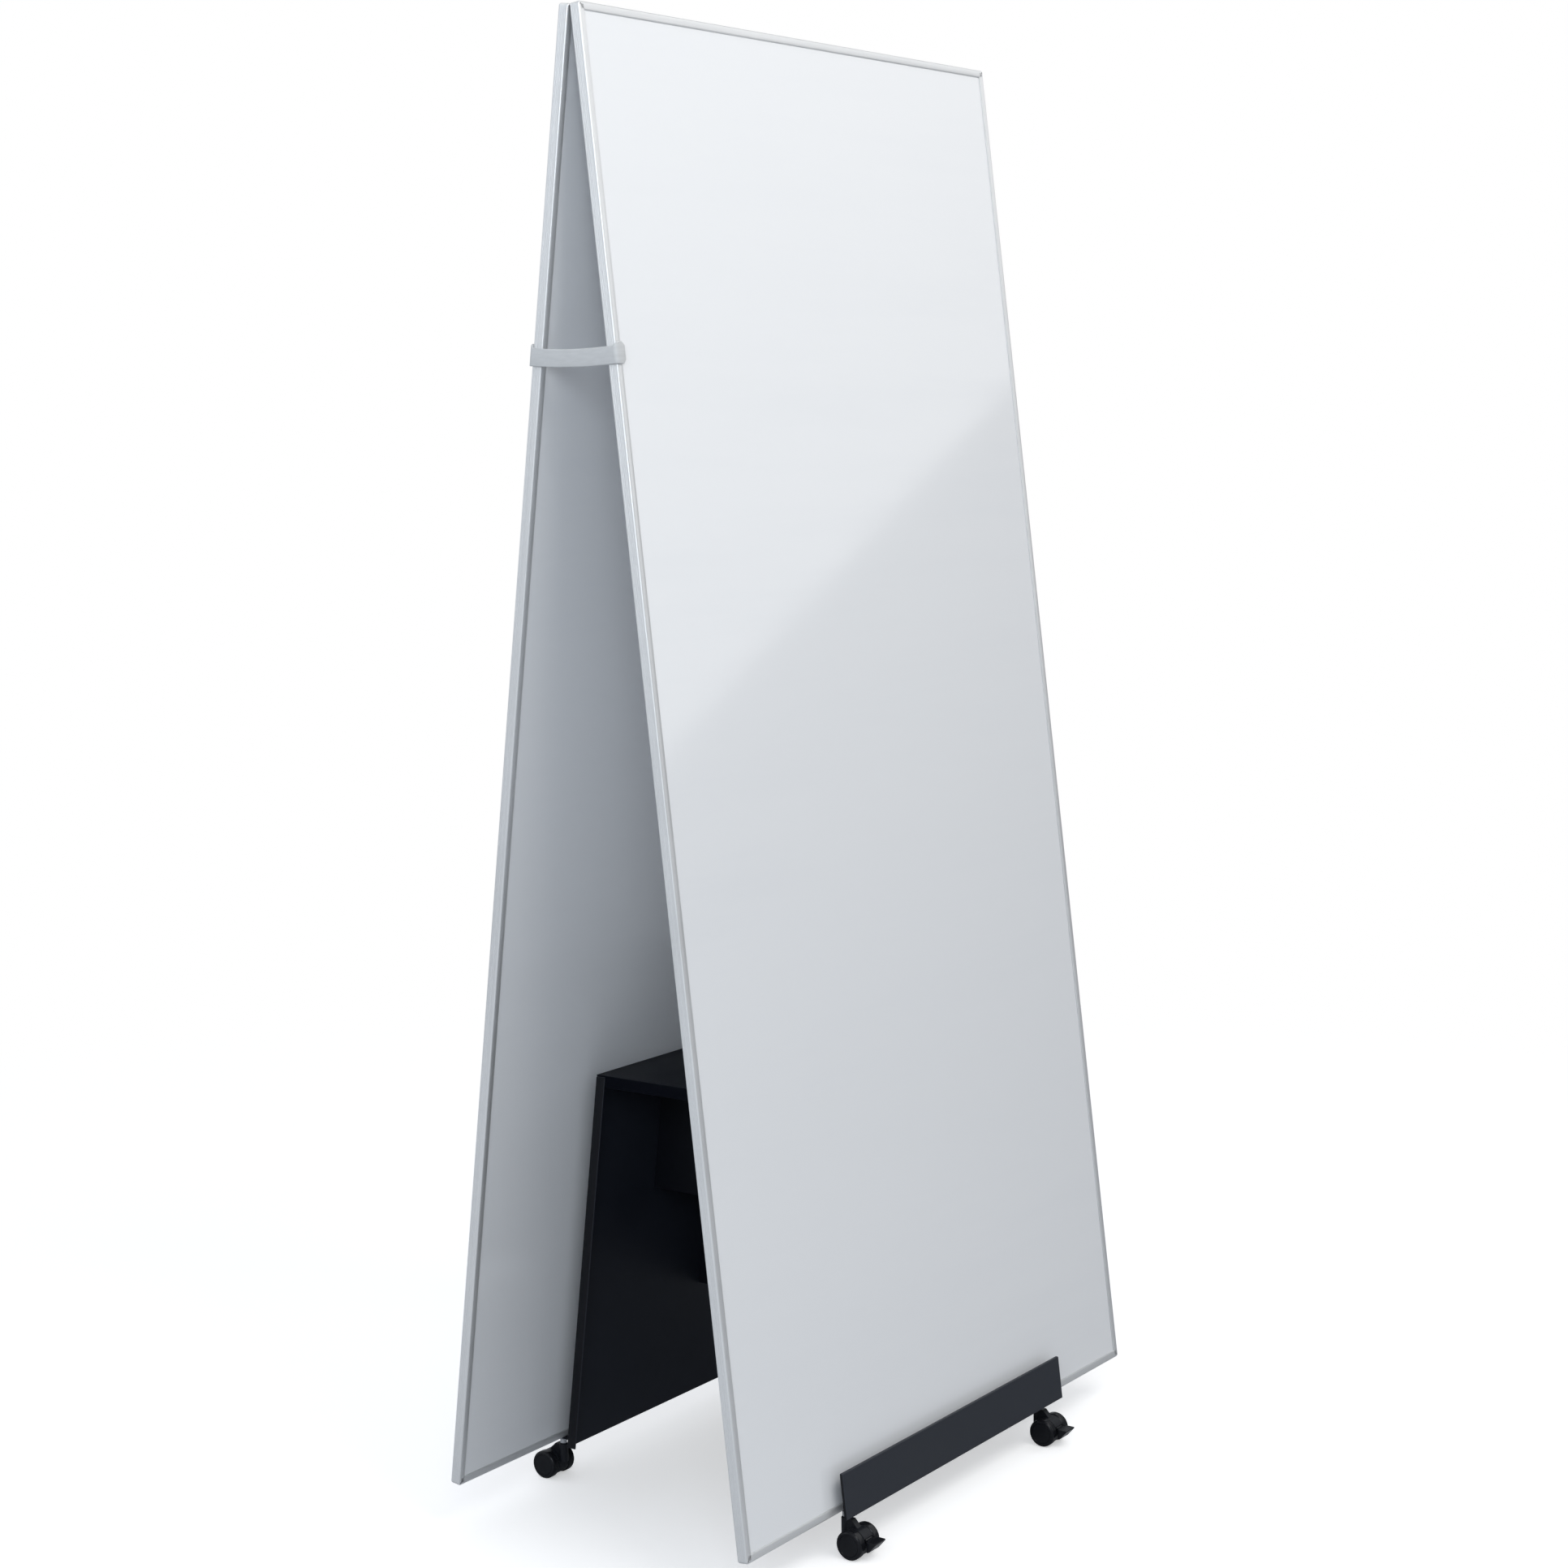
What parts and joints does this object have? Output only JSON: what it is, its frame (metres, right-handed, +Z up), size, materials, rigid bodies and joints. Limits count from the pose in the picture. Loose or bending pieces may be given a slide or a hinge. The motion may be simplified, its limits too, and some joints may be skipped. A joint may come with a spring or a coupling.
{
  "type": "mobile a-frame whiteboard",
  "caption": "Tall framed double-sided whiteboards leaning together in a sheet-steel caddy with board trays, tied by a side clip and rolling on swivelling braked twin-wheel castors.",
  "frame": {"origin": "middle of the footprint, on the floor", "axes": "+X to the right along the boards' width, +Y from the front board to the rear board, +Z up"},
  "size_m": [0.9038, 0.5227, 1.8448],
  "materials": {
    "satin_aluminium": "satin anodised extrusion",
    "writing_enamel": "gloss white enamel",
    "panel_core": "raw fibreboard",
    "key_plastic": "moulded",
    "anthracite_steel": "fine-textured anthracite powder coat",
    "zinc_steel": "zinc plated",
    "castor_plastic": "moulded black",
    "clip_plastic": "moulded light grey"
  },
  "bodies": {
    "caddy": {"caddy_lid": "anthracite_steel", "caddy_front_wall": "anthracite_steel", "caddy_rear_wall": "anthracite_steel", "front_tray": "anthracite_steel", "rear_tray": "anthracite_steel", "left_brace": "anthracite_steel", "centre_brace": "anthracite_steel", "right_brace": "anthracite_steel", "castor_front_left_stem": "zinc_steel", "castor_front_right_stem": "zinc_steel", "castor_rear_left_stem": "zinc_steel", "castor_rear_right_stem": "zinc_steel"},
    "front_board": {"front_board_core": "panel_core", "front_board_inner_sheet": "writing_enamel", "front_board_outer_sheet": "writing_enamel", "front_board_bottom_rail": "satin_aluminium", "front_board_top_rail": "satin_aluminium", "front_board_left_stile": "satin_aluminium", "front_board_right_stile": "satin_aluminium", "front_board_bottom_left_corner_key": "key_plastic", "front_board_bottom_right_corner_key": "key_plastic", "front_board_top_left_corner_key": "key_plastic", "front_board_top_right_corner_key": "key_plastic"},
    "rear_board": {"rear_board_core": "panel_core", "rear_board_inner_sheet": "writing_enamel", "rear_board_outer_sheet": "writing_enamel", "rear_board_bottom_rail": "satin_aluminium", "rear_board_top_rail": "satin_aluminium", "rear_board_left_stile": "satin_aluminium", "rear_board_right_stile": "satin_aluminium", "rear_board_bottom_left_corner_key": "key_plastic", "rear_board_bottom_right_corner_key": "key_plastic", "rear_board_top_left_corner_key": "key_plastic", "rear_board_top_right_corner_key": "key_plastic"},
    "left_strap": {"left_strap": "clip_plastic"},
    "castor_front_left": {"castor_front_left_housing": "castor_plastic", "castor_front_left_axle": "zinc_steel"},
    "castor_front_left_left_wheel": {"castor_front_left_left_wheel": "castor_plastic"},
    "castor_front_left_right_wheel": {"castor_front_left_right_wheel": "castor_plastic"},
    "castor_front_left_brake_pedal": {"castor_front_left_brake_pedal": "castor_plastic"},
    "castor_front_right": {"castor_front_right_housing": "castor_plastic", "castor_front_right_axle": "zinc_steel"},
    "castor_front_right_left_wheel": {"castor_front_right_left_wheel": "castor_plastic"},
    "castor_front_right_right_wheel": {"castor_front_right_right_wheel": "castor_plastic"},
    "castor_front_right_brake_pedal": {"castor_front_right_brake_pedal": "castor_plastic"},
    "castor_rear_left": {"castor_rear_left_housing": "castor_plastic", "castor_rear_left_axle": "zinc_steel"},
    "castor_rear_left_left_wheel": {"castor_rear_left_left_wheel": "castor_plastic"},
    "castor_rear_left_right_wheel": {"castor_rear_left_right_wheel": "castor_plastic"},
    "castor_rear_right": {"castor_rear_right_housing": "castor_plastic", "castor_rear_right_axle": "zinc_steel"},
    "castor_rear_right_left_wheel": {"castor_rear_right_left_wheel": "castor_plastic"},
    "castor_rear_right_right_wheel": {"castor_rear_right_right_wheel": "castor_plastic"}
  },
  "joints": [
    {"name": "front_board_lift", "type": "slide", "parent": "caddy", "child": "front_board", "axis": [0, 0.117, 0.9931], "range_m": [0, 0.07]},
    {"name": "rear_board_lift", "type": "slide", "parent": "caddy", "child": "rear_board", "axis": [0, 0.117, -0.9931], "range_m": [-0.07, 0]},
    {"name": "left_strap_pull", "type": "slide", "parent": "front_board", "child": "left_strap", "axis": [-1, 0, 0], "range_m": [0, 0.04]},
    {"name": "castor_front_left_swivel", "type": "hinge", "parent": "caddy", "child": "castor_front_left", "pos_m": [-0.234, -0.219, 0.045], "axis": [0, 0, 1], "continuous": true},
    {"name": "castor_front_left_left_wheel_spin", "type": "hinge", "parent": "castor_front_left", "child": "castor_front_left_left_wheel", "pos_m": [-0.234, -0.236, 0.018], "axis": [1, 0, 0], "continuous": true},
    {"name": "castor_front_left_right_wheel_spin", "type": "hinge", "parent": "castor_front_left", "child": "castor_front_left_right_wheel", "pos_m": [-0.234, -0.236, 0.018], "axis": [1, 0, 0], "continuous": true},
    {"name": "castor_front_left_brake_pedal_press", "type": "hinge", "parent": "castor_front_left", "child": "castor_front_left_brake_pedal", "pos_m": [-0.234, -0.25019, 0.02317], "axis": [1, 0, 0], "range_deg": [0, 8]},
    {"name": "castor_front_right_swivel", "type": "hinge", "parent": "caddy", "child": "castor_front_right", "pos_m": [0.234, -0.219, 0.045], "axis": [0, 0, 1], "continuous": true},
    {"name": "castor_front_right_left_wheel_spin", "type": "hinge", "parent": "castor_front_right", "child": "castor_front_right_left_wheel", "pos_m": [0.234, -0.236, 0.018], "axis": [1, 0, 0], "continuous": true},
    {"name": "castor_front_right_right_wheel_spin", "type": "hinge", "parent": "castor_front_right", "child": "castor_front_right_right_wheel", "pos_m": [0.234, -0.236, 0.018], "axis": [1, 0, 0], "continuous": true},
    {"name": "castor_front_right_brake_pedal_press", "type": "hinge", "parent": "castor_front_right", "child": "castor_front_right_brake_pedal", "pos_m": [0.234, -0.25019, 0.02317], "axis": [1, 0, 0], "range_deg": [0, 8]},
    {"name": "castor_rear_left_swivel", "type": "hinge", "parent": "caddy", "child": "castor_rear_left", "pos_m": [-0.234, 0.219, 0.045], "axis": [0, 0, 1], "continuous": true},
    {"name": "castor_rear_left_left_wheel_spin", "type": "hinge", "parent": "castor_rear_left", "child": "castor_rear_left_left_wheel", "pos_m": [-0.234, 0.236, 0.018], "axis": [1, 0, 0], "continuous": true},
    {"name": "castor_rear_left_right_wheel_spin", "type": "hinge", "parent": "castor_rear_left", "child": "castor_rear_left_right_wheel", "pos_m": [-0.234, 0.236, 0.018], "axis": [1, 0, 0], "continuous": true},
    {"name": "castor_rear_right_swivel", "type": "hinge", "parent": "caddy", "child": "castor_rear_right", "pos_m": [0.234, 0.219, 0.045], "axis": [0, 0, 1], "continuous": true},
    {"name": "castor_rear_right_left_wheel_spin", "type": "hinge", "parent": "castor_rear_right", "child": "castor_rear_right_left_wheel", "pos_m": [0.234, 0.236, 0.018], "axis": [1, 0, 0], "continuous": true},
    {"name": "castor_rear_right_right_wheel_spin", "type": "hinge", "parent": "castor_rear_right", "child": "castor_rear_right_right_wheel", "pos_m": [0.234, 0.236, 0.018], "axis": [1, 0, 0], "continuous": true}
  ]
}
